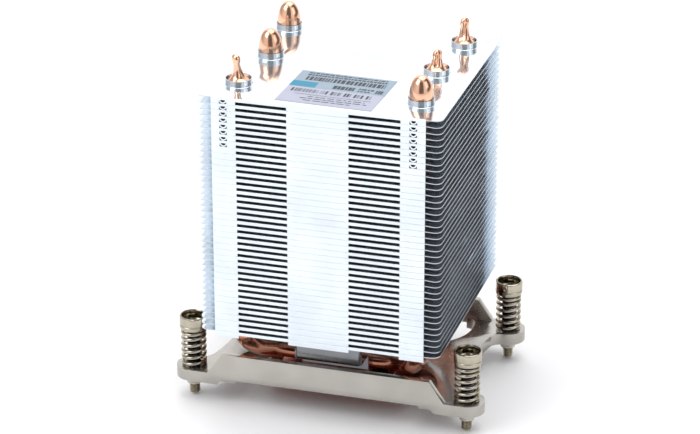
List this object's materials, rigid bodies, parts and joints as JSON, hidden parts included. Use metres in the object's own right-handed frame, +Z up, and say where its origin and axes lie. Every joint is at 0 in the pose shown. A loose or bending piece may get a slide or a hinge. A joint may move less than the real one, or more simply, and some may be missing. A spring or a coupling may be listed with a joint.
{
  "type": "passive CPU heatsink",
  "caption": "Tall passive server heatsink: stacked aluminium fins on copper heat pipes, copper base and a cast bracket with sprung captive screws.",
  "frame": {"origin": "centre of the four-screw pattern at the level of the screw tips, on which the unfitted heatsink stands", "axes": "+Z up, away from the processor; X along the bracket's two walls, between screws 94 mm apart; +Y to the rear, away from the face that the label is nearest to"},
  "size_m": [0.1056, 0.08, 0.1222],
  "materials": {
    "copper_base": "machined bare copper",
    "aluminium_block": "machined aluminium block",
    "cast_bracket": "die-cast zinc with a warm grey metallic coat",
    "paper_label": null,
    "copper_pipe": "bright drawn copper",
    "aluminium_fin": "bright rolled aluminium sheet",
    "nickel_steel": "nickel-plated steel",
    "collar_steel": "plain turned steel",
    "spring_steel": "nickel-plated spring wire"
  },
  "bodies": {
    "heatsink": {"base_plate": "copper_base", "saddle": "aluminium_block", "bracket": "cast_bracket", "label": "paper_label", "heat_pipe_front": "copper_pipe", "heat_pipe_middle": "copper_pipe", "heat_pipe_rear": "copper_pipe", "fin_01": "aluminium_fin", "fin_02": "aluminium_fin", "fin_03": "aluminium_fin", "fin_04": "aluminium_fin", "fin_05": "aluminium_fin", "fin_06": "aluminium_fin", "fin_07": "aluminium_fin", "fin_08": "aluminium_fin", "fin_09": "aluminium_fin", "fin_10": "aluminium_fin", "fin_11": "aluminium_fin", "fin_12": "aluminium_fin", "fin_13": "aluminium_fin", "fin_14": "aluminium_fin", "fin_15": "aluminium_fin", "fin_16": "aluminium_fin", "fin_17": "aluminium_fin", "fin_18": "aluminium_fin", "fin_19": "aluminium_fin", "fin_20": "aluminium_fin", "fin_21": "aluminium_fin", "fin_22": "aluminium_fin", "fin_23": "aluminium_fin", "fin_24": "aluminium_fin", "fin_25": "aluminium_fin", "fin_26": "aluminium_fin", "fin_27": "aluminium_fin", "fin_28": "aluminium_fin", "fin_29": "aluminium_fin", "fin_30": "aluminium_fin", "fin_31": "aluminium_fin", "fin_32": "aluminium_fin", "fin_33": "aluminium_fin", "fin_34": "aluminium_fin", "fin_35": "aluminium_fin", "fin_36": "aluminium_fin", "fin_37": "aluminium_fin", "fin_38": "aluminium_fin", "fin_39": "aluminium_fin", "fin_40": "aluminium_fin", "screw_spring_front_left": "spring_steel", "screw_spring_front_right": "spring_steel", "screw_spring_rear_left": "spring_steel", "screw_spring_rear_right": "spring_steel"},
    "collar_front_left": {"retaining_collar_front_left": "collar_steel"},
    "screw_front_left": {"captive_screw_front_left": "nickel_steel"},
    "collar_front_right": {"retaining_collar_front_right": "collar_steel"},
    "screw_front_right": {"captive_screw_front_right": "nickel_steel"},
    "collar_rear_left": {"retaining_collar_rear_left": "collar_steel"},
    "screw_rear_left": {"captive_screw_rear_left": "nickel_steel"},
    "collar_rear_right": {"retaining_collar_rear_right": "collar_steel"},
    "screw_rear_right": {"captive_screw_rear_right": "nickel_steel"}
  },
  "joints": [
    {"name": "press_front_left", "type": "slide", "parent": "heatsink", "child": "collar_front_left", "axis": [0, 0, -1], "range_m": [0, 0.005], "stiffness_N_per_m": 2000, "springref_m": -0.002, "deforming": ["screw_spring_front_left"]},
    {"name": "turn_front_left", "type": "hinge", "parent": "collar_front_left", "child": "screw_front_left", "pos_m": [-0.047, -0.028, 0], "axis": [0, 0, 1], "continuous": true},
    {"name": "press_front_right", "type": "slide", "parent": "heatsink", "child": "collar_front_right", "axis": [0, 0, -1], "range_m": [0, 0.005], "stiffness_N_per_m": 2000, "springref_m": -0.002, "deforming": ["screw_spring_front_right"]},
    {"name": "turn_front_right", "type": "hinge", "parent": "collar_front_right", "child": "screw_front_right", "pos_m": [0.047, -0.028, 0], "axis": [0, 0, 1], "continuous": true},
    {"name": "press_rear_left", "type": "slide", "parent": "heatsink", "child": "collar_rear_left", "axis": [0, 0, -1], "range_m": [0, 0.005], "stiffness_N_per_m": 2000, "springref_m": -0.002, "deforming": ["screw_spring_rear_left"]},
    {"name": "turn_rear_left", "type": "hinge", "parent": "collar_rear_left", "child": "screw_rear_left", "pos_m": [-0.047, 0.028, 0], "axis": [0, 0, 1], "continuous": true},
    {"name": "press_rear_right", "type": "slide", "parent": "heatsink", "child": "collar_rear_right", "axis": [0, 0, -1], "range_m": [0, 0.005], "stiffness_N_per_m": 2000, "springref_m": -0.002, "deforming": ["screw_spring_rear_right"]},
    {"name": "turn_rear_right", "type": "hinge", "parent": "collar_rear_right", "child": "screw_rear_right", "pos_m": [0.047, 0.028, 0], "axis": [0, 0, 1], "continuous": true}
  ]
}
